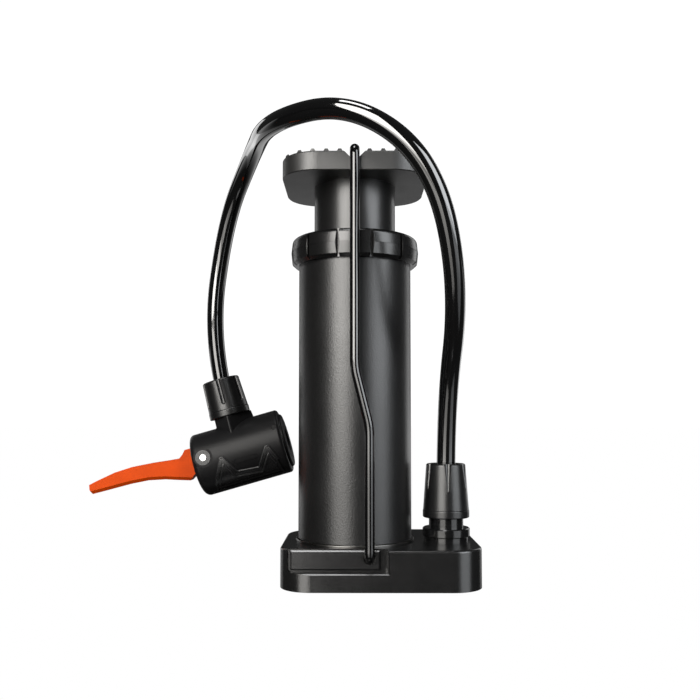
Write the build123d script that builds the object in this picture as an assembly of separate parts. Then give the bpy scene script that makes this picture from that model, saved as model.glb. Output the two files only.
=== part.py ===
from build123d import *
import math
import os

# Foot air pump, in millimetres. Origin on the floor under the barrel's axis.
# +Z up, +X towards the hose fitting on the base, -Y towards the front.

# base
BASE_LEFT = -26.0
BASE_RIGHT = 44.2
BASE_HALF_DEPTH = 26.5
BASE_BOTTOM = 0.4
BASE_TOP = 14.4
BASE_FRONT_LEFT_RADIUS = 11.0
BASE_FRONT_RIGHT_RADIUS = 11.0
BASE_BACK_LEFT_RADIUS = 13.0
BASE_BACK_RIGHT_RADIUS = 9.5
PAD_TOP = 2.0
PAD_INSET = 2.8
RECESS_WALL_Y = 22.4
PLATE_FACE_Y = 24.2
PLATE_LEFT = -21.9
PLATE_RIGHT = 8.5
PLATE_BOTTOM = 7.5
PLATE_TOP = 14.1
PLATE_BEVEL = 0.45
LEDGE_Z = 6.6
SCREW_OFFSET = 11.0

# barrel and its fittings
BARREL_R = 20.85
BORE_R = 19.4
BARREL_TOP = 120.3
CAP_TOP = 21.0
COLLAR_R = 23.75
COLLAR_BOTTOM = 115.3
COLLAR_TOP = 125.3
COLLAR_GROOVES = 12
BUSH_TOP = 126.3
BUSH_BOTTOM = 112.3

# plunger
NECK_R = 15.15
NECK_BORE_R = 13.6
TREADLE_HALF_LENGTH = 26.2
TREADLE_HALF_DEPTH = 24.0
TREADLE_CORNER = 13.0
TREADLE_BOTTOM = 145.2
TREADLE_TOP = 152.1
RIDGE_HEIGHT = 0.85
RIDGE_PITCH = 4.75
RIDGES_PER_SIDE = 5
PISTON_BOTTOM = 38.2
PISTON_TOP = 50.0
PISTON_R = 19.0
SEAL_R = 19.33

# bail, the wire that holds the treadle down
WIRE_R = 1.7
BAIL_X = 5.0
BAIL_Z = 11.4
BAIL_Y = 26.1
BAIL_END_Y = 14.0
BAIL_BAR_Z = 152.6

# hose and its fitting
FITTING_X = 33.7
HOSE_R = 3.5
HOSE_BORE_R = 2.0
STEM_TOP = 27.0
NUT_BOTTOM = 22.5
NUT_FLUTES = 6
NUT_TOP = 42.2

# pump head, built along its own axes and then placed by its pivot pin
HEAD_PIN = (-62.2, 42.2, 42.8)
HEAD_TILT = 16.0
HEAD_R = 13.6
HEAD_AXIS_Z = -2.5
HEAD_LEFT = -5.0
HEAD_RIGHT = 34.0
HEAD_STEM_X = 13.5
SLOT_HALF_WIDTH = 4.8
LEVER_HALF_WIDTH = 4.5

# hose path from the base fitting to the pump head
HOSE_POINTS = [
    (33.7, 0.0, 27.0),
    (33.7, 0.0, 62.0),
    (35.0, -34.0, 103.0),
    (25.0, -46.0, 141.0),
    (-1.0, -42.0, 162.0),
    (-30.0, -26.0, 162.0),
    (-41.0, 15.5, 164.0),
    (-55.0, 38.0, 143.0),
]
HEAD_RUN = 29.0


def tube(radius, z0, z1, x=0.0, y=0.0):
    """A solid round bar along Z."""
    return Pos(x, y, (z0 + z1) / 2) * Cylinder(radius, z1 - z0)


def ring(outer, inner, z0, z1, x=0.0, y=0.0):
    """A round sleeve along Z."""
    return tube(outer, z0, z1, x, y) - tube(inner, z0, z1, x, y)


def cone(r0, r1, z0, z1, x=0.0, y=0.0):
    """A tapered round bar along Z."""
    return Pos(x, y, (z0 + z1) / 2) * Cone(r0, r1, z1 - z0)


def block(x0, x1, y0, y1, z0, z1):
    """A rectangular block between two corners."""
    centre = Pos((x0 + x1) / 2, (y0 + y1) / 2, (z0 + z1) / 2)
    return centre * Box(x1 - x0, y1 - y0, z1 - z0)


def bar_x(radius, x0, x1, y=0.0, z=0.0):
    """A solid round bar along X."""
    return Pos((x0 + x1) / 2, y, z) * Rot(0, 90, 0) * Cylinder(radius, x1 - x0)


def bar_y(radius, y0, y1, x=0.0, z=0.0):
    """A solid round bar along Y."""
    return Pos(x, (y0 + y1) / 2, z) * Rot(90, 0, 0) * Cylinder(radius, y1 - y0)


def slab(outline, z0, z1):
    """An outline in the XY plane raised from z0 to z1."""
    return Pos(0, 0, z0) * extrude(outline, z1 - z0)


def base_outline(inset):
    left = BASE_LEFT + inset
    right = BASE_RIGHT - inset
    half = BASE_HALF_DEPTH - inset
    corners = [(left, -half), (right, -half), (right, half), (left, half)]
    radii = [
        BASE_FRONT_LEFT_RADIUS,
        BASE_FRONT_RIGHT_RADIUS,
        BASE_BACK_RIGHT_RADIUS,
        BASE_BACK_LEFT_RADIUS,
    ]
    face = make_face(Polyline(*corners, close=True))
    for corner, radius in zip(corners, radii):
        nearest = face.vertices().sort_by_distance(Vector(*corner))[0]
        face = fillet(nearest, radius - inset)
    return face


def corner_screws():
    return [(sx * SCREW_OFFSET, sy * SCREW_OFFSET) for sx in (-1, 1) for sy in (-1, 1)]


def recess_flare(side):
    """Bevel round the mouth of a plate's recess."""
    face = Plane(origin=(0, side * BASE_HALF_DEPTH, 0), x_dir=(1, 0, 0), z_dir=(0, -side, 0))
    low = LEDGE_Z - 0.4
    high = BASE_TOP + 5
    outline = Pos(-5.8, side * (low + high) / 2) * Rectangle(35.0, high - low)
    return extrude(face * outline, amount=0.4, taper=45)


def base_housing():
    body = slab(base_outline(0), BASE_BOTTOM, BASE_TOP)
    body = fillet(body.edges().group_by(Axis.Z)[-1], 0.9)
    body -= slab(base_outline(PAD_INSET - 0.2), BASE_BOTTOM, PAD_TOP)
    for side in (-1, 1):
        near = side * RECESS_WALL_Y
        far = side * (BASE_HALF_DEPTH + 5)
        recess = block(-22.9, 11.3, min(near, far), max(near, far), LEDGE_Z, BASE_TOP + 5)
        body -= fillet(recess.edges().filter_by(Axis.Y).group_by(Axis.Z)[0], 1.2)
        body -= recess_flare(side)
        body -= bar_y(WIRE_R + 0.08, min(side * 13.8, near), max(side * 13.8, near), BAIL_X, BAIL_Z)
    body -= tube(8.0, 8.0, BASE_TOP)
    body -= tube(2.4, 3.4, 8.0)
    body -= bar_x(1.6, 0, FITTING_X, 0, 5.4)
    body -= tube(2.4, 3.4, 7.6, FITTING_X)
    body -= tube(4.0, 7.6, BASE_TOP, FITTING_X)
    body -= tube(6.0, 12.8, BASE_TOP, FITTING_X)
    for x, y in corner_screws():
        body -= tube(1.5, PAD_TOP, BASE_TOP, x, y)
    return body


def sole_pad():
    pad = slab(base_outline(PAD_INSET), 0, PAD_TOP)
    for x, y in corner_screws():
        pad -= tube(3.3, 0, PAD_TOP, x, y)
    for x in range(-18, 40, 4):
        pad -= block(x - 0.5, x + 0.5, -20, -16, 0, 0.5)
        pad -= block(x - 0.5, x + 0.5, 16, 20, 0, 0.5)
    return pad


def base_screw(x, y):
    screw = tube(2.9, 0.6, PAD_TOP, x, y) + tube(1.5, PAD_TOP, 19.0, x, y)
    screw -= block(x - 1.6, x + 1.6, y - 0.35, y + 0.35, 0.6, 1.4)
    return screw - block(x - 0.35, x + 0.35, y - 1.6, y + 1.6, 0.6, 1.4)


def pivot_plate(side):
    """Plate in the recess, its outer face bevelled all round, with a hole for the bail."""
    near = side * RECESS_WALL_Y
    far = side * PLATE_FACE_Y
    slope = far - side * PLATE_BEVEL
    left, right, low, high = PLATE_LEFT, PLATE_RIGHT, PLATE_BOTTOM, PLATE_TOP
    plan = [(left, near), (left, slope), (left + PLATE_BEVEL, far)]
    plan += [(right - PLATE_BEVEL, far), (right, slope), (right, near)]
    profile = [(near, low), (slope, low), (far, low + PLATE_BEVEL)]
    profile += [(far, high - PLATE_BEVEL), (slope, high), (near, high)]
    from_above = extrude(make_face(Polyline(*plan, close=True)), 20)
    from_side = extrude(Plane.YZ * make_face(Polyline(*profile, close=True)), 40, both=True)
    return (from_above & from_side) - bar_y(2.1, min(near, far), max(near, far), BAIL_X, BAIL_Z)


def barrel_tube():
    wall = ring(BARREL_R, BORE_R, BASE_TOP, BARREL_TOP)
    for z in (115.9, 117.3, 118.7):
        wall -= ring(BARREL_R, BARREL_R - 0.35, z, z + 0.5)
    return wall


def barrel_foot_ring():
    band = ring(BARREL_R + 0.9, BARREL_R, BASE_TOP, BASE_TOP + 1.0)
    return fillet(band.edges().group_by(Axis.Z)[-1].sort_by(SortBy.RADIUS)[-1:], 0.6)


def barrel_end_cap():
    cap = tube(BORE_R, BASE_TOP, CAP_TOP) + tube(8.0, 8.0, BASE_TOP)
    cap -= ring(BORE_R, BORE_R - 2.0, 17.0, 19.0)
    cap -= tube(2.0, 8.0, 9.5)
    cap -= tube(5.0, 9.5, 17.0)
    cap -= tube(6.0, 17.0, CAP_TOP)
    for x, y in corner_screws():
        cap -= tube(1.5, BASE_TOP, 19.0, x, y)
    return cap


def o_ring(major, minor, z, x=0.0, y=0.0):
    return Pos(x, y, z) * Torus(major, minor)


def coil(radius, wire, z0, z1, turns):
    """A helical spring whose wire just fits between z0 and z1."""
    height = z1 - z0 - 2 * wire
    line = Pos(0, 0, z0 + wire) * Helix(height / turns, height, radius)
    return sweep(Plane(line @ 0, z_dir=line % 0) * Circle(wire), line, is_frenet=True)


def valve_seat():
    seat = ring(6.0, 2.2, 17.0, 19.0)
    return seat - block(-6, 6, -0.6, 0.6, 18.2, 19.0)


def valve_disc():
    return tube(4.2, 15.4, 16.9) + tube(1.9, 14.2, 15.4)


def hose_stem():
    """Threaded stem whose barb enters the hose; along Z with its nut seat at NUT_BOTTOM."""
    body = tube(4.0, 7.6, BASE_TOP) + tube(8.0, BASE_TOP, 15.6) + tube(6.3, 18.8, NUT_BOTTOM)
    body += chamfer(tube(8.65, 15.6, 18.8).edges().filter_by(GeomType.CIRCLE), 0.35)
    body += tube(5.5, NUT_BOTTOM, STEM_TOP)
    body += tube(HOSE_BORE_R, STEM_TOP, 38.0)
    return Pos(FITTING_X, 0, 0) * (body - tube(1.2, 7.6, 38.0))


def pointed_flute():
    """Cutter for a V flute that runs out 12 mm below the nut's top, which is at z = 0."""
    return Cone(0.05, 2.75, 24)


def round_flute():
    """Cutter for a flute with a round foot 11 mm below the nut's top, which is at z = 0."""
    return Pos(0, 0, -3.5) * Cylinder(1.0, 13) + Pos(0, 0, -10) * Sphere(1.0)


def fluted_nut(z0, z1, bottom_r, top_r, flute):
    """Tapered hose nut along Z with a ring at its foot, flutes, and a bore for thread and hose."""
    nut = cone(bottom_r, top_r, z0 + 2.9, z1)
    nut = fillet(nut.edges().group_by(Axis.Z)[-1], 0.8)
    nut += fillet(tube(bottom_r + 0.15, z0, z0 + 2.9).edges().filter_by(GeomType.CIRCLE), 0.5)
    slant = math.degrees(math.atan((bottom_r - top_r) / (z1 - z0 - 2.9)))
    for i in range(NUT_FLUTES):
        cutter = Pos(top_r + 0.25, 0, z1) * Rot(0, -slant, 0) * flute
        nut -= Rot(0, 0, -90 + 360 / NUT_FLUTES * i) * cutter
    nut -= tube(5.5, z0, z0 + 4.5)
    return nut - tube(HOSE_R, z0, z1 + 1)


def groove_section():
    """Section of one grip groove across the collar's wall, flared at its mouth."""
    half = [(COLLAR_R - 1.8, 0.5), (COLLAR_R - 0.35, 0.5), (COLLAR_R + 0.2, 1.05), (COLLAR_R + 2, 1.05)]
    other = [(x, -y) for x, y in reversed(half)]
    return make_face(Polyline(*half, *other, close=True))


def collar_nut():
    half = (COLLAR_BOTTOM + COLLAR_TOP) / 2
    nut = cone(COLLAR_R - 0.5, COLLAR_R, COLLAR_BOTTOM, half)
    nut += cone(COLLAR_R, COLLAR_R - 0.55, half, COLLAR_TOP)
    nut = fillet(nut.edges().group_by(Axis.Z)[-1], 1.8)
    nut = chamfer(nut.edges().group_by(Axis.Z)[0], 1.1)
    nut -= ring(COLLAR_R + 1, COLLAR_R - 0.2, half - 0.08, half + 0.08)
    step = 360 / COLLAR_GROOVES
    for i in range(COLLAR_GROOVES):
        groove = Pos(0, 0, COLLAR_BOTTOM - 1) * extrude(groove_section(), COLLAR_TOP - COLLAR_BOTTOM + 2)
        nut -= Rot(0, 0, step * (i + 0.5)) * groove
    nut -= tube(BARREL_R, COLLAR_BOTTOM, BARREL_TOP)
    return nut - tube(17.5, BARREL_TOP, COLLAR_TOP)


def guide_bush():
    bush = tube(BORE_R, BUSH_BOTTOM, BARREL_TOP) + tube(17.5, BARREL_TOP, BUSH_TOP)
    bush = fillet(bush.edges().group_by(Axis.Z)[-1], 0.4)
    bush -= tube(NECK_R + 0.1, BUSH_BOTTOM, BUSH_TOP)
    return bush - ring(16.8, NECK_R, 115.0, 117.5)


def treadle_outline(inset=0.0):
    length = 2 * (TREADLE_HALF_LENGTH - inset)
    depth = 2 * (TREADLE_HALF_DEPTH - inset)
    return RectangleRounded(length, depth, TREADLE_CORNER - inset)


def treadle_ridge(x):
    profile = Polyline(
        (x - 1.0, TREADLE_TOP),
        (x - 0.5, TREADLE_TOP + RIDGE_HEIGHT),
        (x + 0.5, TREADLE_TOP + RIDGE_HEIGHT),
        (x + 1.0, TREADLE_TOP),
        close=True,
    )
    face = Plane.XZ * make_face(profile)
    return extrude(face, TREADLE_HALF_DEPTH, both=True)


def treadle():
    plate = slab(treadle_outline(), TREADLE_BOTTOM, TREADLE_TOP)
    plate = fillet(plate.edges().group_by(Axis.Z)[-1], 0.7)
    plate = chamfer(plate.edges().group_by(Axis.Z)[0], 0.3)
    limit = slab(treadle_outline(0.7), TREADLE_TOP, TREADLE_TOP + 2)
    for i in range(RIDGES_PER_SIDE):
        for side in (-1, 1):
            plate += treadle_ridge(side * (5.2 + RIDGE_PITCH * i)) & limit
    notch = Polyline((-1.5, 149.7), (-4.8, 153.0), (-4.8, 154), (4.8, 154), (4.8, 153.0), (1.5, 149.7), close=True)
    plate -= extrude(Plane.XZ * make_face(notch), 30, both=True)
    plate -= ring(NECK_R, NECK_BORE_R, TREADLE_BOTTOM, TREADLE_BOTTOM + 2)
    for x, y in treadle_screw_spots():
        plate -= tube(1.2, TREADLE_BOTTOM, 148.4, x, y)
    return plate


def treadle_screw_spots():
    return [(8.5 * math.cos(math.radians(a)), 8.5 * math.sin(math.radians(a))) for a in (30, 150, 270)]


def treadle_screw(x, y):
    return tube(1.2, 140.0, 148.2, x, y) + tube(2.3, 138.4, 140.0, x, y)


def plunger_tube():
    wall = ring(NECK_R, NECK_BORE_R, PISTON_TOP, TREADLE_BOTTOM + 2)
    return wall - bar_y(1.0, -20, 20, 0, 53)


def tube_top_plug():
    plug = ring(NECK_BORE_R, 5.0, 140.0, TREADLE_BOTTOM)
    for x, y in treadle_screw_spots():
        plug -= tube(1.2, 140.0, TREADLE_BOTTOM, x, y)
    return plug


def piston():
    body = tube(PISTON_R, PISTON_BOTTOM, PISTON_TOP) + tube(NECK_BORE_R, PISTON_TOP, 56.0)
    body -= ring(PISTON_R, 17.0, 42.0, 45.0)
    body -= ring(PISTON_R, 17.4, 46.6, 48.6)
    body -= ring(16.2, 9.0, PISTON_BOTTOM, 47.5)
    body -= bar_y(1.0, -20, 20, 0, 53)
    for i in range(4):
        body -= Rot(0, 0, 45 + 90 * i) * tube(1.2, PISTON_BOTTOM, 56.0, 3.6)
    return body


def piston_cup():
    cup = ring(SEAL_R, 17.0, 42.0, 45.0)
    return cup - cone(18.4, 17.8, 42.0, 43.6)


def intake_valve():
    flap = tube(6.0, PISTON_BOTTOM - 0.8, PISTON_BOTTOM)
    return flap


def bail_leg(side):
    """Points of one leg, from its end in the base up to the cross bar."""
    y = side * BAIL_Y
    return [
        (BAIL_X, side * BAIL_END_Y, BAIL_Z),
        (BAIL_X, y, BAIL_Z),
        (BAIL_X, y, 56.0),
        (0.0, y, 76.0),
        (0.0, y, BAIL_BAR_Z),
    ]


def bail_wire():
    points = bail_leg(-1) + bail_leg(1)[::-1]
    bends = [2.4, 24.0, 24.0, 2.6, 2.6, 24.0, 24.0, 2.4]
    line = FilletPolyline(*points, radius=bends)
    return sweep(Plane(line @ 0, z_dir=line % 0) * Circle(WIRE_R), line)


def head_place():
    return Pos(*HEAD_PIN) * Rot(0, -HEAD_TILT, 0)


def head_point(x, z):
    """A point of the head's middle plane, in the pump's own axes."""
    tilt = math.radians(HEAD_TILT)
    return (
        HEAD_PIN[0] + x * math.cos(tilt) - z * math.sin(tilt),
        HEAD_PIN[1],
        HEAD_PIN[2] + x * math.sin(tilt) + z * math.cos(tilt),
    )


def saddle_boss():
    """Four-sided boss under the head's hose nut."""
    top = Pos(HEAD_STEM_X, 0, 14.0) * RectangleRounded(13.4, 13.4, 1.0, rotation=45)
    foot = Pos(HEAD_STEM_X, 0, 4.0) * RectangleRounded(15.2, 15.2, 1.0, rotation=45)
    return loft([foot, top])


def head_body():
    body = bar_x(HEAD_R, HEAD_LEFT, HEAD_RIGHT - 0.8, 0, HEAD_AXIS_Z)
    body = fillet(body.edges().group_by(Axis.X)[0], 2.4)
    body = fillet(body.edges().group_by(Axis.X)[-1], 1.2)
    body += saddle_boss()
    body -= bar_x(8.0, 10.0, HEAD_RIGHT, 0, HEAD_AXIS_Z)
    body -= bar_x(11.4, 28.0, HEAD_RIGHT, 0, HEAD_AXIS_Z)
    body -= block(HEAD_LEFT - 1, 7.0, -SLOT_HALF_WIDTH, SLOT_HALF_WIDTH, -9.0, 20.0)
    body -= bar_y(1.5, -20, 20)
    body -= bar_x(2.6, 6.5, 10.5, 0, HEAD_AXIS_Z)
    for side in (-1, 1):
        body -= bar_y(4.1, min(side * 12.5, side * 20), max(side * 12.5, side * 20))
        body -= bar_y(1.0, min(side * 11.4, side * 20), max(side * 11.4, side * 20), 31.0, 4.0)
        body -= pill_groove(side)
    body -= tube(2.0, 2.0, 12.0, HEAD_STEM_X)
    return body - tube(4.0, 9.0, 14.0, HEAD_STEM_X)


def pill_groove(side):
    """Shallow oval groove above the grip panel."""
    oval = Pos(16.8, -5.4) * (SlotOverall(10.4, 2.3) - SlotOverall(9.4, 1.3))
    cutter = extrude(Plane.XZ * oval, 20, both=True)
    skin = bar_x(HEAD_R + 1, 8, 26, 0, HEAD_AXIS_Z) - bar_x(HEAD_R - 0.3, 8, 26, 0, HEAD_AXIS_Z)
    near = block(8, 26, min(0, side * 20), max(0, side * 20), -12, 2)
    return cutter & skin & near


def grip_outline():
    """Outline of the grip panel seen from the side, its lower edge under the head."""
    return make_face(
        Polyline(
            (0.6, -15.6),
            (2.0, -11.6),
            (6.9, -2.4),
            (8.0, -2.4),
            (11.7, -9.6),
            (21.2, -10.4),
            (26.0, -3.0),
            (27.1, -3.0),
            (29.2, -9.0),
            (30.4, -15.6),
            close=True,
        )
    )


def raised(outline, height):
    """Skin of that height on both sides of the head, within an outline seen from the side."""
    skin = bar_x(HEAD_R + height, 0.2, 30.8, 0, HEAD_AXIS_Z) - bar_x(HEAD_R, 0.2, 30.8, 0, HEAD_AXIS_Z)
    middle = block(0, 32, -5.5, 5.5, -20, 20)
    return (skin & extrude(Plane.XZ * outline, 20, both=True)) - middle


def grip_panels():
    """Raised panels on the front and back of the head, each with two raised lines round its edge."""
    face = grip_outline()
    outer_line = face - offset(face, amount=-0.8)
    inner_line = offset(face, amount=-1.5) - offset(face, amount=-2.2)
    return raised(face, 0.15) + raised(outer_line, 0.5) + raised(inner_line, 0.4)


def head_mouth_cap():
    cap = bar_x(11.4, 28.0, HEAD_RIGHT + 0.4, 0, HEAD_AXIS_Z)
    cap = fillet(cap.edges().group_by(Axis.X)[-1], 0.9)
    return cap - bar_x(5.0, 27.0, HEAD_RIGHT + 1, 0, HEAD_AXIS_Z)


def valve_seal():
    seal = bar_x(8.0, 22.0, 28.0, 0, HEAD_AXIS_Z)
    return seal - bar_x(4.2, 22.0, 28.0, 0, HEAD_AXIS_Z)


def seal_pusher():
    body = bar_x(7.93, 16.8, 19.6, 0, HEAD_AXIS_Z) + bar_x(2.52, 5.9, 16.8, 0, HEAD_AXIS_Z)
    return body - bar_x(1.0, 17.6, 19.6, 0, HEAD_AXIS_Z)


def depressor_pin():
    return bar_x(1.0, 17.6, 21.5, 0, HEAD_AXIS_Z)


def head_stem():
    base = 14.0
    body = tube(4.0, 9.0, base, HEAD_STEM_X) + tube(5.5, base, base + 4.0, HEAD_STEM_X)
    body += tube(HOSE_BORE_R, base + 4.0, base + 13.0, HEAD_STEM_X)
    return body - tube(1.2, 9.0, base + 13.0, HEAD_STEM_X)


def head_hose_nut():
    return Pos(HEAD_STEM_X, 0, 14.0) * fluted_nut(0.0, 16.0, 8.5, 7.8, round_flute())


def pin_washers():
    rings = []
    for side in (-1, 1):
        low = min(side * 12.5, side * 13.0)
        rings.append(bar_y(3.1, low, low + 0.5) - bar_y(1.5, low, low + 0.5))
    return Compound(children=rings)


def pivot_pin():
    pin = bar_y(1.5, -13.1, 13.1)
    return chamfer(pin.edges().filter_by(GeomType.CIRCLE), 0.2)


def lever():
    """Lever that clamps the head onto a tyre valve; its hub turns on the pivot pin."""
    upper = [(-5.6, 5.3), (-8.2, 5.3), (-9.6, 3.7), (-11.4, 2.4), (-17.3, 3.0), (-24.4, 3.9), (-31.5, 4.5)]
    upper += [(-38.9, 4.25), (-46.6, 3.0), (-50.6, 2.2)]
    lower = [(-51.0, 0.2), (-50.5, -1.9), (-44.4, -2.05), (-33.4, -2.25), (-26.3, -2.85), (-19.4, -4.4)]
    lower += [(-13.5, -6.4), (-9.4, -7.7), (-6.0, -5.2)]
    outline = make_face(Polyline(*(upper + lower), close=True))
    arm = extrude(Plane.XZ * outline, LEVER_HALF_WIDTH, both=True)
    arm = chamfer(arm.edges().filter_by(lambda e: is_long_lower(e)), 1.4)
    arm += bar_y(5.4, -LEVER_HALF_WIDTH, LEVER_HALF_WIDTH)
    arm += block(-6.5, 0, -LEVER_HALF_WIDTH, LEVER_HALF_WIDTH, -4.6, 5.2)
    return arm - bar_y(1.55, -20, 20)


def is_long_lower(edge):
    """Lower edges along the lever's two sides, clear of its hub and tip."""
    centre = edge.center()
    on_side = abs(abs(centre.Y) - LEVER_HALF_WIDTH) < 0.01
    return on_side and centre.Z < -1.9 and -50.0 < centre.X < -9.6


def hose_line():
    """Hose centreline: straight runs joined by arcs as wide as the runs allow."""
    foot = head_point(HEAD_STEM_X, 18.0)
    points = [Vector(*p) for p in HOSE_POINTS]
    points += [Vector(*head_point(HEAD_STEM_X, 18.0 + HEAD_RUN)), Vector(*foot)]
    bends = []
    for before, here, after in zip(points, points[1:], points[2:]):
        arriving = here - before
        leaving = after - here
        turn = math.radians(arriving.get_angle(leaving))
        bends.append(0.45 * min(arriving.length, leaving.length) / math.tan(turn / 2))
    print("hose bend radii, mm:", [round(r, 1) for r in bends])
    return FilletPolyline(*points, radius=bends)


def hose():
    line = hose_line()
    section = Circle(HOSE_R) - Circle(HOSE_BORE_R)
    body = sweep(Plane(line @ 0, z_dir=line % 0) * section, line)
    area = math.pi * (HOSE_R**2 - HOSE_BORE_R**2)
    print("hose length, mm:", round(line.length, 1), "volume ratio:", round(body.volume / area / line.length, 4))
    return body


def save(name, shape):
    shape.label = name
    export_step(shape, os.path.join("parts", name + ".step"))


def build_base():
    save("base_housing", base_housing())
    save("sole_pad", sole_pad())
    save("base_screws", Compound(children=[base_screw(x, y) for x, y in corner_screws()]))
    save("pivot_plate_front", pivot_plate(-1))
    save("pivot_plate_rear", pivot_plate(1))
    save("barrel_tube", barrel_tube())
    save("barrel_foot_ring", barrel_foot_ring())
    save("barrel_end_cap", barrel_end_cap())
    save("barrel_o_ring", o_ring(BORE_R - 1.0, 1.0, 18.0))
    save("collar_nut", collar_nut())
    save("guide_bush", guide_bush())
    save("wiper_ring", ring(16.8, NECK_R + 0.08, 115.0, 117.5))
    save("valve_seat", valve_seat())
    save("valve_disc", valve_disc())
    save("valve_spring", coil(3.1, 0.3, 9.6, 15.3, 5))


def build_plunger():
    save("treadle", treadle())
    save("treadle_screws", Compound(children=[treadle_screw(x, y) for x, y in treadle_screw_spots()]))
    save("tube_top_plug", tube_top_plug())
    save("plunger_tube", plunger_tube())
    save("piston", piston())
    save("piston_cup", piston_cup())
    save("piston_ring", ring(SEAL_R, 17.4, 46.6, 48.6))
    save("piston_pin", bar_y(1.0, -15.0, 15.0, 0, 53))
    save("intake_valve", intake_valve())
    save("return_spring", coil(12.5, 0.8, CAP_TOP, 47.4, 6))
    save("bail_wire", bail_wire())


def build_hose_and_head():
    place = head_place()
    save("hose_stem", hose_stem())
    save("stem_o_ring", o_ring(5.0, 0.8, 13.6, FITTING_X))
    save("base_hose_nut", Pos(FITTING_X, 0, 0) * fluted_nut(NUT_BOTTOM, NUT_TOP, 8.4, 7.2, pointed_flute()))
    save("hose", hose())
    save("head_stem", place * head_stem())
    save("head_hose_nut", place * head_hose_nut())
    save("head_body", place * head_body())
    save("grip_panels", place * grip_panels())
    save("head_mouth_cap", place * head_mouth_cap())
    save("valve_seal", place * valve_seal())
    save("seal_pusher", place * seal_pusher())
    save("depressor_pin", place * depressor_pin())
    save("pivot_pin", place * pivot_pin())
    save("pin_washers", place * pin_washers())
    save("lever", place * lever())


os.makedirs("parts", exist_ok=True)
build_base()
build_plunger()
build_hose_and_head()
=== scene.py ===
import math
from collections import namedtuple

import bmesh
import bpy
from mathutils import Euler, Matrix, Vector


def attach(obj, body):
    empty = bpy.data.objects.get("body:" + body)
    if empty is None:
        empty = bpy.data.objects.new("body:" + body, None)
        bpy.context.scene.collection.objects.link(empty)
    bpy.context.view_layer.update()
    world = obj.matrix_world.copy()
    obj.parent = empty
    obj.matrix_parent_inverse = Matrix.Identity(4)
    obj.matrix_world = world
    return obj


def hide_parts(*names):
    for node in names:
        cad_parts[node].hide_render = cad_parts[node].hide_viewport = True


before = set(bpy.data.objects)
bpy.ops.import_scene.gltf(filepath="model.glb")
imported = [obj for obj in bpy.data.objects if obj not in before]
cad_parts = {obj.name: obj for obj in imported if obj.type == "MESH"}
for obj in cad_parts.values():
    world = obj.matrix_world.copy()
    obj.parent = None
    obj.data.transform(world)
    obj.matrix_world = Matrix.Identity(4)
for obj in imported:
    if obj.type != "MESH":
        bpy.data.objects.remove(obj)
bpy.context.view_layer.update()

bl_info = {
    "name": "Foot air pump",
    "version": (1, 0, 0),
    "blender": (4, 5, 0),
    "location": "View3D > Sidebar > Foot pump",
    "description": "Finishes and details of a small foot air pump around its packed model",
    "category": "Object",
}

MM = 0.001

# Camera: lens and sensor in millimetres, the rest in metres and radians.
CAMERA_PLACE = (0.0, -0.2927, 0.0587)
CAMERA_TILT = math.radians(92.92)
CAMERA_TURN = math.radians(0.35)
CAMERA_LENS = 40.37
CAMERA_SENSOR = 36.0
CAMERA_SHIFT_Y = 0.0411
CAMERA_CLIP_START = 0.01

# The floor is white to the camera. Reflections see a dark gloss sheet that glows far behind.
FLOOR_RADIUS = 6.0
FLOOR_SIDES = 96
FLOOR_COLOUR = (0.03, 0.03, 0.03)
FLOOR_ROUGHNESS = 0.12
FLOOR_SPECULAR = 1.0
FLOOR_GLOW = 0.6
FLOOR_GLOW_START = 0.1
FLOOR_GLOW_END = 0.5

# The world is a weak fill light, and a white backdrop to the camera.
FILL_STRENGTH = 0.04
BACKDROP_STRENGTH = 1.05

WHITE = (1.0, 1.0, 1.0)
WARM = (1.0, 0.975, 0.935)
COOL = (0.94, 0.97, 1.0)

# Soft lights round the pump: turn is in degrees to the right of the camera, size is width
# and height, and each faces the pump's axis at its own height.
Lamp = namedtuple("Lamp", "name turn rise reach size radiance tint")
LAMPS = [
    Lamp("key_softbox", -27.0, 0.50, 0.80, (0.50, 0.76), 11.5, WARM),
    Lamp("low_key_softbox", -27.0, 0.055, 0.80, (0.50, 0.11), 5.5, WARM),
    Lamp("right_softbox", 51.0, 0.48, 0.80, (0.52, 0.72), 5.5, COOL),
    Lamp("low_right_softbox", 51.0, 0.055, 0.80, (0.52, 0.11), 3.5, COOL),
    Lamp("left_edge_strip", -140.0, 0.30, 0.70, (0.25, 0.6), 1.2, WHITE),
    Lamp("right_edge_strip", 140.0, 0.30, 0.70, (0.25, 0.6), 1.2, WHITE),
]
TOP_LAMP_PLACE = Vector((-0.08, -0.16, 0.95))
TOP_LAMP_TARGET = Vector((0.0, 0.0, 0.1))
TOP_LAMP_SIZE = (0.28, 0.28)
TOP_LAMP_RADIANCE = 9.0

# Colours of pieces that are hidden or hardly seen, so the panel doesn't list them.
SOLE_RUBBER = (0.02, 0.02, 0.02)
SEAL_RUBBER = (0.012, 0.012, 0.012)
INNER_PLASTIC = (0.35, 0.35, 0.33)
SCREW_STEEL = (0.55, 0.55, 0.53)
SPRING_STEEL = (0.4, 0.4, 0.41)
PIN_STEEL = (0.85, 0.85, 0.84)
FOOT_RING_METAL = (0.08, 0.078, 0.075)
BRASS = (0.75, 0.5, 0.2)

# Spacing and depth of the finishes' patterns, in metres.
COAT_PATCH = 0.018
COAT_DUST = 0.0011
MOULD_GRAIN = 0.00022
MOULD_DEPTH = 0.000012
MOULD_FLOW = 0.012
MOULD_RUB = 0.004
GLOSS_RIPPLE = 0.008
GLOSS_DEPTH = 0.000004
GLOSS_SMEAR = 0.009
METAL_MARKS = 0.00035
METAL_DEPTH = 0.000006
METAL_STAIN = 0.004
RUBBER_GRAIN = 0.0003
RUBBER_DEPTH = 0.00002
RUBBER_BLOOM = 0.006

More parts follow.
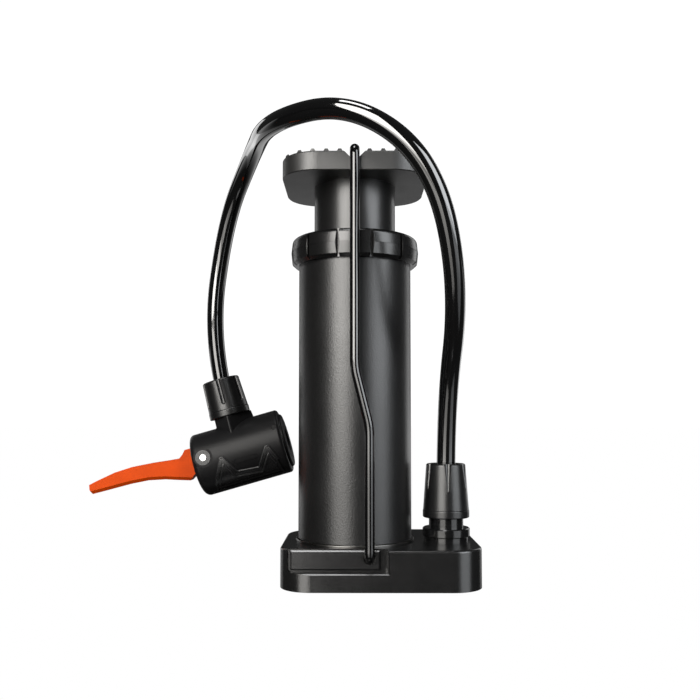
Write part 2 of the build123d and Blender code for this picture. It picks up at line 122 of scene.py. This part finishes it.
# Control points of the hose, from its stem on the base to its stem in the pump head.
HOSE_POINTS = [
    (0.0337, 0.0, 0.027),
    (0.0337, 0.0, 0.062),
    (0.035, -0.034, 0.103),
    (0.025, -0.046, 0.141),
    (-0.001, -0.042, 0.162),
    (-0.030, -0.026, 0.162),
    (-0.041, 0.0155, 0.164),
    (-0.055, 0.038, 0.143),
    (-0.06218, 0.0422, 0.0917),
    (-0.05418, 0.0422, 0.06382),
]

HEAD_PIN = Vector((-0.0622, 0.0422, 0.0428))
HEAD_TILT = math.radians(16.0)
HEAD_AXIS_Z = -2.5 * MM
HEAD_R = 13.6 * MM
RIDGE_LIFT = 0.1 * MM

HOSE_ORDER = 3
HOSE_STEPS = 24
HOSE_BEVEL_STEPS = 12
RIDGE_BEVEL_STEPS = 3

# Turning points of the raised lines on the head's sides, in millimetres along and across it.
RIDGE_OUTER = [
    (1.6, -12.4),
    (6.9, -2.0),
    (8.0, -2.0),
    (11.9, -9.2),
    (21.0, -10.0),
    (26.0, -2.6),
    (27.2, -2.6),
    (29.6, -9.0),
]
RIDGE_INNER = [
    (3.4, -12.6),
    (7.4, -4.9),
    (10.8, -11.2),
    (21.8, -12.1),
    (26.4, -5.6),
    (28.3, -10.4),
]

HEAD_PIECES = [
    "head_stem",
    "head_hose_nut",
    "head_body",
    "grip_panels",
    "head_mouth_cap",
    "valve_seal",
    "seal_pusher",
    "depressor_pin",
    "pivot_pin",
    "pin_washers",
    "lever",
]


# ---------------------------------------------------------------- sizes and colours


def colour_prop(name, description, default):
    return bpy.props.FloatVectorProperty(
        name=name,
        description=description,
        default=default,
        subtype="COLOR",
        size=3,
        min=0.0,
        max=1.0,
    )


def length_prop(name, description, default):
    return bpy.props.FloatProperty(
        name=name, description=description, default=default, unit="LENGTH", min=0.0, precision=5
    )


class PumpColours(bpy.types.PropertyGroup):
    base: colour_prop("Base", "Moulded base and pivot plates", (0.0042, 0.0042, 0.0043))
    barrel: colour_prop("Barrel", "Powder coat of the barrel", (0.003, 0.003, 0.0031))
    neck: colour_prop("Neck", "Coat of the plunger tube", (0.004, 0.004, 0.0041))
    treadle: colour_prop("Treadle", "Moulded treadle", (0.0085, 0.0084, 0.0082))
    collar: colour_prop("Collar", "Collar nut and guide bush", (0.0035, 0.0035, 0.0036))
    wire: colour_prop("Wire", "Gloss paint of the bail", (0.0015, 0.0015, 0.0016))
    hose: colour_prop("Hose", "Gloss skin of the hose", (0.0012, 0.0012, 0.0013))
    head: colour_prop("Head", "Pump head and hose nuts", (0.0032, 0.0032, 0.0034))
    lever: colour_prop("Lever", "Orange lever", (0.47, 0.047, 0.0012))


class PumpSizes(bpy.types.PropertyGroup):
    hose_diameter: length_prop("Hose diameter", "Outside of the air hose", 0.007)
    hose_length: length_prop("Hose length", "Hose from stem to stem", 0.3395)
    grain: length_prop("Grain", "Spacing of the powder coat's pebbles", 0.0006)
    ridge_line: length_prop("Ridge line", "Width of the raised lines on the pump head", 0.00085)


def sizes():
    return bpy.context.scene.pump_sizes


def colours():
    return bpy.context.scene.pump_colours


# ---------------------------------------------------------------- shader expressions


class Value:
    """One output of a node; Python operators on it add Math nodes."""

    def __init__(self, graph, socket):
        self.graph = graph
        self.socket = socket

    def _math(self, operation, first, second):
        return self.graph.node("ShaderNodeMath", {"operation": operation}, {0: first, 1: second})

    def __add__(self, other):
        return self._math("ADD", self, other)

    def __radd__(self, other):
        return self._math("ADD", other, self)

    def __sub__(self, other):
        return self._math("SUBTRACT", self, other)

    def __mul__(self, other):
        return self._math("MULTIPLY", self, other)


class Graph:
    """The node tree of one material."""

    def __init__(self, name):
        self.material = bpy.data.materials.new(name)
        self.material.use_nodes = True
        self.tree = self.material.node_tree
        self.shader = self.tree.nodes["Principled BSDF"]

    def plug(self, socket, value):
        if isinstance(value, Value):
            self.tree.links.new(value.socket, socket)
        elif isinstance(value, (tuple, list)) and len(value) == 3 and socket.type == "RGBA":
            socket.default_value = (*value, 1.0)
        else:
            socket.default_value = value

    def node(self, kind, settings=None, inputs=None, output=0):
        """Adds a node: its settings first, then the values or links of its sockets."""
        made = self.tree.nodes.new(kind)
        for key, value in (settings or {}).items():
            if key == "stops":
                for stop, (place, shade) in zip(made.color_ramp.elements, value):
                    stop.position = place
                    stop.color = (shade, shade, shade, 1.0)
            else:
                setattr(made, key, value)
        for key, value in (inputs or {}).items():
            self.plug(made.inputs[key], value)
        return Value(self, made.outputs[output])

    def surface(self, **values):
        for key, value in values.items():
            self.plug(self.shader.inputs[key.replace("_", " ")], value)

    def place(self):
        return self.node("ShaderNodeTexCoord", output="Object")

    def noise(self, size, detail=2.0, roughness=0.5, distortion=0.0):
        """Noise whose blobs are about size metres across, from 0 to 1."""
        inputs = {
            "Vector": self.place(),
            "Scale": 1.0 / size,
            "Detail": detail,
            "Roughness": roughness,
            "Distortion": distortion,
        }
        return self.node("ShaderNodeTexNoise", {}, inputs, "Fac")

    def pebbles(self, size):
        """Rounded cells about size metres across."""
        inputs = {"Vector": self.place(), "Scale": 1.0 / size, "Smoothness": 0.6}
        return self.node("ShaderNodeTexVoronoi", {"feature": "SMOOTH_F1"}, inputs, "Distance")

    def ramp(self, value, low, high):
        """Black below low, white above high."""
        stops = [(low, 0.0), (high, 1.0)]
        return self.node("ShaderNodeValToRGB", {"stops": stops}, {"Fac": value}, "Color")

    def blend(self, amount, first, second):
        """Mixes two colours; a Mix node has them at sockets 6 and 7, and its colour out at 2."""
        inputs = {0: amount, 6: first, 7: second}
        return self.node("ShaderNodeMix", {"data_type": "RGBA"}, inputs, 2)

    def bump(self, height, depth):
        inputs = {"Height": height, "Distance": depth, "Strength": 1.0}
        return self.node("ShaderNodeBump", {}, inputs, "Normal")


def shade(colour, factor):
    return tuple(min(1.0, channel * factor) for channel in colour)


def powder_coat(name, colour, rough, depth, specular):
    """Fine wrinkled powder coat on metal."""
    g = Graph(name)
    size = sizes().grain
    grain = g.pebbles(size) * 0.6 + g.noise(size * 0.7, 3.0) * 0.6
    patch = g.noise(COAT_PATCH, 3.0)
    dust = g.ramp(g.noise(COAT_DUST, 4.0, 0.7), 0.62, 0.78)
    tone = g.blend(patch, shade(colour, 0.8), shade(colour, 1.25))
    g.surface(
        Base_Color=g.blend(dust * 0.25, tone, shade(colour, 2.4)),
        Roughness=rough - 0.05 + patch * 0.1 + g.noise(size * 2.0) * 0.06,
        Normal=g.bump(grain, depth),
    )
    g.shader.inputs["Specular IOR Level"].default_value = specular
    return g.material


def moulded(name, colour, rough, specular, grain=MOULD_GRAIN, depth=MOULD_DEPTH, variation=0.1):
    """Injection-moulded plastic with a fine spark-eroded grain and faint flow marks."""
    g = Graph(name)
    fine = g.noise(grain, 3.0, 0.6)
    flow = g.noise(MOULD_FLOW, 3.0, 0.55, 0.6)
    rub = g.ramp(g.noise(MOULD_RUB, 5.0, 0.75, 1.2), 0.55, 0.8)
    g.surface(
        Base_Color=g.blend(flow, shade(colour, 0.82), shade(colour, 1.22)),
        Roughness=rough - variation / 2 + flow * variation - rub * 0.04 + fine * 0.05,
        Normal=g.bump(fine + flow * 0.8, depth),
    )
    g.shader.inputs["Specular IOR Level"].default_value = specular
    return g.material


def gloss(name, colour, rough, specular, coat):
    """Gloss paint or a smooth rubber skin, with a slow ripple and faint smears."""
    g = Graph(name)
    wave = g.noise(GLOSS_RIPPLE, 1.0)
    smear = g.noise(GLOSS_SMEAR, 4.0, 0.6, 1.0)
    g.surface(
        Base_Color=g.blend(smear, shade(colour, 0.8), shade(colour, 1.3)),
        Roughness=rough + smear * 0.03,
        Normal=g.bump(wave, GLOSS_DEPTH),
    )
    g.shader.inputs["Specular IOR Level"].default_value = specular
    g.shader.inputs["Coat Weight"].default_value = coat
    g.shader.inputs["Coat Roughness"].default_value = 0.03
    return g.material


def metal(name, colour, rough):
    """Bare metal with fine marks and a faint stain."""
    g = Graph(name)
    marks = g.noise(METAL_MARKS, 3.0, 0.6)
    stain = g.noise(METAL_STAIN, 4.0, 0.6)
    g.surface(
        Base_Color=g.blend(stain, shade(colour, 0.85), shade(colour, 1.08)),
        Metallic=1.0,
        Roughness=rough + stain * 0.12 + marks * 0.06,
        Normal=g.bump(marks, METAL_DEPTH),
    )
    return g.material


def rubber(name, colour, rough):
    """Matte moulded rubber with a dusty bloom."""
    g = Graph(name)
    fine = g.noise(RUBBER_GRAIN, 4.0, 0.65)
    bloom = g.ramp(g.noise(RUBBER_BLOOM, 4.0), 0.35, 0.8)
    g.surface(
        Base_Color=g.blend(bloom, colour, shade(colour, 1.6)),
        Roughness=rough + fine * 0.08,
        Normal=g.bump(fine, RUBBER_DEPTH),
    )
    return g.material


# ---------------------------------------------------------------- helpers for pieces


def dress(node, material):
    """Gives a carried-over CAD node its finish."""
    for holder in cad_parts[node].material_slots:
        holder.link = "OBJECT"
        holder.material = material


def dress_all(nodes, material):
    for node in nodes:
        dress(node, material)


def head_matrix():
    """From the pump head's own axes to the pump's."""
    return Matrix.Translation(HEAD_PIN) @ Euler((0.0, -HEAD_TILT, 0.0)).to_matrix().to_4x4()


def link(name, data, material, body):
    """Adds a Blender piece that rides on a body."""
    piece = bpy.data.objects.new(name, data)
    bpy.context.scene.collection.objects.link(piece)
    data.materials.append(material)
    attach(piece, body)
    return piece


def wrap_round_head(turns, side):
    """Points about a millimetre apart along a line on the side of the head, laid on its skin."""
    places = []
    for (x0, z0), (x1, z1) in zip(turns, turns[1:]):
        steps = max(2, int(math.hypot(x1 - x0, z1 - z0)))
        for i in range(steps):
            share = i / steps
            places.append((x0 + (x1 - x0) * share, z0 + (z1 - z0) * share))
    places.append(turns[-1])
    onto_head = head_matrix()
    wrapped = []
    for x, z in places:
        drop = z * MM - HEAD_AXIS_Z
        depth = math.sqrt((HEAD_R + RIDGE_LIFT) ** 2 - drop ** 2)
        wrapped.append(onto_head @ Vector((x * MM, side * depth, z * MM)))
    return wrapped


def ridge_lines():
    """Two raised zigzag lines round each grip panel of the pump head."""
    light = shade(colours().head, 2.4)
    finish = gloss("ridge_plastic", light, rough=0.3, specular=0.5, coat=0.0)
    made = []
    for side, word in ((-1.0, "front"), (1.0, "rear")):
        for turns, mark in ((RIDGE_OUTER, "outer"), (RIDGE_INNER, "inner")):
            curve = bpy.data.curves.new("ridge_line", "CURVE")
            curve.dimensions = "3D"
            places = wrap_round_head(turns, side)
            spline = curve.splines.new("POLY")
            spline.points.add(len(places) - 1)
            for point, place in zip(spline.points, places):
                point.co = (*place, 1.0)
            curve.bevel_depth = sizes().ridge_line / 2
            curve.bevel_resolution = RIDGE_BEVEL_STEPS
            curve.use_fill_caps = True
            piece = link("head_ridge_" + word + "_" + mark, curve, finish, "base")
            made.append(piece)
    return made


# ---------------------------------------------------------------- operators


class PUMP_OT_stage(bpy.types.Operator):
    """Camera, pale floor and soft lights"""

    bl_idname = "pump.stage"
    bl_label = "Stage"

    def execute(self, context):
        self.add_camera(context.scene)
        self.add_floor(context.scene)
        self.add_world(context.scene)
        self.add_lights(context.scene)
        context.scene.view_settings.view_transform = "Standard"
        return {"FINISHED"}

    def add_camera(self, scene):
        data = bpy.data.cameras.new("camera")
        data.lens = CAMERA_LENS
        data.sensor_width = CAMERA_SENSOR
        data.shift_y = CAMERA_SHIFT_Y
        data.clip_start = CAMERA_CLIP_START
        camera = bpy.data.objects.new("camera", data)
        camera.location = CAMERA_PLACE
        camera.rotation_euler = (CAMERA_TILT, 0.0, CAMERA_TURN)
        scene.collection.objects.link(camera)
        scene.camera = camera

    def add_floor(self, scene):
        mesh = bpy.data.meshes.new("floor")
        shape = bmesh.new()
        bmesh.ops.create_circle(shape, cap_ends=True, segments=FLOOR_SIDES, radius=FLOOR_RADIUS)
        shape.to_mesh(mesh)
        shape.free()
        floor = bpy.data.objects.new("floor", mesh)
        scene.collection.objects.link(floor)
        g = Graph("floor_white")
        axis = g.node("ShaderNodeSeparateXYZ", {}, {0: g.place()}, "Y")
        behind = g.ramp(axis, FLOOR_GLOW_START, FLOOR_GLOW_END)
        g.surface(Base_Color=FLOOR_COLOUR, Roughness=FLOOR_ROUGHNESS, Emission_Color=behind)
        g.shader.inputs["Specular IOR Level"].default_value = FLOOR_SPECULAR
        g.shader.inputs["Emission Strength"].default_value = FLOOR_GLOW
        seen = g.node("ShaderNodeLightPath", output="Is Camera Ray")
        white = g.node("ShaderNodeEmission", {}, {"Color": WHITE})
        reflecting = Value(g, g.shader.outputs[0])
        both = g.node("ShaderNodeMixShader", {}, {0: seen, 1: reflecting, 2: white})
        g.plug(g.tree.nodes["Material Output"].inputs["Surface"], both)
        mesh.materials.append(g.material)

    def add_world(self, scene):
        world = bpy.data.worlds.new("studio")
        world.use_nodes = True
        tree = world.node_tree
        sky = tree.nodes["Background"]
        sky.inputs["Color"].default_value = (*WHITE, 1.0)
        sky.inputs["Strength"].default_value = FILL_STRENGTH
        seen = tree.nodes.new("ShaderNodeBackground")
        seen.inputs["Color"].default_value = (*WHITE, 1.0)
        seen.inputs["Strength"].default_value = BACKDROP_STRENGTH
        path = tree.nodes.new("ShaderNodeLightPath")
        mix = tree.nodes.new("ShaderNodeMixShader")
        tree.links.new(path.outputs["Is Camera Ray"], mix.inputs[0])
        tree.links.new(sky.outputs[0], mix.inputs[1])
        tree.links.new(seen.outputs[0], mix.inputs[2])
        tree.links.new(mix.outputs[0], tree.nodes["World Output"].inputs["Surface"])
        scene.world = world

    def add_lights(self, scene):
        for lamp in LAMPS:
            angle = math.radians(lamp.turn)
            across, back = math.sin(angle) * lamp.reach, -math.cos(angle) * lamp.reach
            place = Vector((across, back, lamp.rise))
            target = Vector((0.0, 0.0, lamp.rise))
            self.add_lamp(scene, lamp.name, place, target, lamp.size, lamp.radiance, lamp.tint)
        self.add_lamp(
            scene,
            "top_softbox",
            TOP_LAMP_PLACE,
            TOP_LAMP_TARGET,
            TOP_LAMP_SIZE,
            TOP_LAMP_RADIANCE,
            WHITE,
        )

    def add_lamp(self, scene, name, place, target, size, radiance, tint):
        data = bpy.data.lights.new(name, "AREA")
        data.shape = "RECTANGLE"
        data.size = size[0]
        data.size_y = size[1]
        data.energy = radiance * math.pi * size[0] * size[1]
        data.color = tint
        lamp = bpy.data.objects.new(name, data)
        lamp.location = place
        lamp.rotation_euler = (target - place).to_track_quat("-Z", "Y").to_euler()
        scene.collection.objects.link(lamp)


class PUMP_OT_hose(bpy.types.Operator):
    """The hose as one smooth spline along its route"""

    bl_idname = "pump.hose"
    bl_label = "Hose"

    def execute(self, context):
        curve = bpy.data.curves.new("air_hose", "CURVE")
        curve.dimensions = "3D"
        spline = curve.splines.new("NURBS")
        spline.points.add(len(HOSE_POINTS) - 1)
        for point, place in zip(spline.points, HOSE_POINTS):
            point.co = (*place, 1.0)
        spline.order_u = HOSE_ORDER
        spline.use_endpoint_u = True
        spline.resolution_u = HOSE_STEPS
        curve.bevel_depth = sizes().hose_diameter / 2
        curve.bevel_resolution = HOSE_BEVEL_STEPS
        curve.use_fill_caps = True
        skin = gloss("hose_skin", colours().hose, rough=0.045, specular=0.8, coat=1.0)
        hose = link("air_hose", curve, skin, "base")
        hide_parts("hose")
        [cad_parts[name] for name in HEAD_PIECES] + ridge_lines()
        return {"FINISHED"}


class PUMP_OT_base(bpy.types.Operator):
    """Finishes of the base, its plates, pad and screws"""

    bl_idname = "pump.base"
    bl_label = "Base"

    def execute(self, context):
        dress("base_housing", moulded("base_plastic", colours().base, rough=0.22, specular=0.85))
        light = shade(colours().base, 1.9)
        plate = moulded(
            "plate_plastic", light, rough=0.2, specular=1.0, depth=0.000008, variation=0.05
        )
        dress_all(["pivot_plate_front", "pivot_plate_rear"], plate)
        dress("sole_pad", rubber("sole_rubber", SOLE_RUBBER, rough=0.75))
        dress("base_screws", metal("screw_steel", SCREW_STEEL, rough=0.3))
        return {"FINISHED"}


class PUMP_OT_barrel(bpy.types.Operator):
    """Finishes of the barrel, its foot ring, collar and bush, and the pieces inside"""

    bl_idname = "pump.barrel"
    bl_label = "Barrel"

    def execute(self, context):
        coat = powder_coat(
            "barrel_coat", colours().barrel, rough=0.32, depth=0.00004, specular=0.66
        )
        dress("barrel_tube", coat)
        dress("barrel_foot_ring", metal("foot_ring_metal", FOOT_RING_METAL, rough=0.2))
        collar = moulded(
            "collar_plastic",
            colours().collar,
            rough=0.22,
            specular=0.62,
            depth=0.000006,
            variation=0.05,
        )
        dress_all(["collar_nut", "guide_bush"], collar)
        self.dress_inner_pieces()
        return {"FINISHED"}

    def dress_inner_pieces(self):
        plastic = moulded("inner_plastic", INNER_PLASTIC, rough=0.45, specular=0.5)
        plain = ["barrel_end_cap", "tube_top_plug", "piston", "piston_ring", "seal_pusher"]
        dress_all(plain, plastic)
        seals = ["barrel_o_ring", "stem_o_ring", "wiper_ring", "valve_disc", "piston_cup"]
        seals += ["intake_valve", "valve_seal"]
        dress_all(seals, rubber("seal_rubber", SEAL_RUBBER, rough=0.5))
        steel = metal("spring_steel", SPRING_STEEL, rough=0.28)
        dress_all(["return_spring", "valve_spring", "piston_pin", "treadle_screws"], steel)
        brass = metal("brass", BRASS, rough=0.25)
        dress_all(["valve_seat", "head_stem", "depressor_pin"], brass)


class PUMP_OT_plunger(bpy.types.Operator):
    """Finishes of the plunger tube and treadle"""

    bl_idname = "pump.plunger"
    bl_label = "Plunger"

    def execute(self, context):
        coat = powder_coat("neck_coat", colours().neck, rough=0.29, depth=0.000028, specular=0.62)
        dress("plunger_tube", coat)
        tread = moulded(
            "treadle_plastic",
            colours().treadle,
            rough=0.42,
            specular=0.85,
            grain=0.0004,
            depth=0.00003,
        )
        dress("treadle", tread)
        return {"FINISHED"}


class PUMP_OT_bail(bpy.types.Operator):
    """Gloss paint of the bail"""

    bl_idname = "pump.bail"
    bl_label = "Bail"

    def execute(self, context):
        paint = gloss("wire_paint", colours().wire, rough=0.09, specular=0.75, coat=0.0)
        dress("bail_wire", paint)
        return {"FINISHED"}


class PUMP_OT_fittings(bpy.types.Operator):
    """Finishes of the hose stem and both hose nuts"""

    bl_idname = "pump.fittings"
    bl_label = "Fittings"

    def execute(self, context):
        stem = gloss("stem_plastic", colours().head, rough=0.16, specular=0.5, coat=0.2)
        dress("hose_stem", stem)
        nut = moulded("nut_plastic", colours().head, rough=0.28, specular=0.6)
        dress_all(["base_hose_nut", "head_hose_nut"], nut)
        return {"FINISHED"}


class PUMP_OT_head(bpy.types.Operator):
    """Finishes of the pump head and its lever"""

    bl_idname = "pump.head"
    bl_label = "Pump head"

    def execute(self, context):
        shell = moulded("head_plastic", shade(colours().head, 1.8), rough=0.33, specular=0.13)
        dress_all(["head_body", "head_mouth_cap"], shell)
        grip = moulded("grip_plastic", shade(colours().head, 1.6), rough=0.24, specular=0.6)
        dress_all(["grip_panels", "pin_washers"], grip)
        dress("pivot_pin", metal("pin_steel", PIN_STEEL, rough=0.18))
        lever = moulded(
            "lever_plastic",
            colours().lever,
            rough=0.4,
            specular=0.07,
            grain=0.0005,
            depth=0.00001,
            variation=0.06,
        )
        dress("lever", lever)
        return {"FINISHED"}


class PUMP_PT_panel(bpy.types.Panel):
    """Sizes, colours and steps of the foot pump"""

    bl_idname = "PUMP_PT_panel"
    bl_label = "Foot pump"
    bl_space_type = "VIEW_3D"
    bl_region_type = "UI"
    bl_category = "Foot pump"

    def draw(self, context):
        for group in (context.scene.pump_sizes, context.scene.pump_colours):
            column = self.layout.column()
            for key in group.__annotations__:
                column.prop(group, key)
        for step in STEPS:
            self.layout.operator(step.bl_idname)


STEPS = [
    PUMP_OT_stage,
    PUMP_OT_hose,
    PUMP_OT_base,
    PUMP_OT_barrel,
    PUMP_OT_plunger,
    PUMP_OT_bail,
    PUMP_OT_fittings,
    PUMP_OT_head,
]
CLASSES = [PumpColours, PumpSizes, *STEPS, PUMP_PT_panel]


def register():
    for cls in CLASSES:
        bpy.utils.register_class(cls)
    bpy.types.Scene.pump_colours = bpy.props.PointerProperty(type=PumpColours)
    bpy.types.Scene.pump_sizes = bpy.props.PointerProperty(type=PumpSizes)


def unregister():
    del bpy.types.Scene.pump_sizes
    del bpy.types.Scene.pump_colours
    for cls in reversed(CLASSES):
        bpy.utils.unregister_class(cls)


def main():
    register()
    for step in STEPS:
        group, action = step.bl_idname.split(".")
        getattr(getattr(bpy.ops, group), action)()


if __name__ == "__main__":
    main()
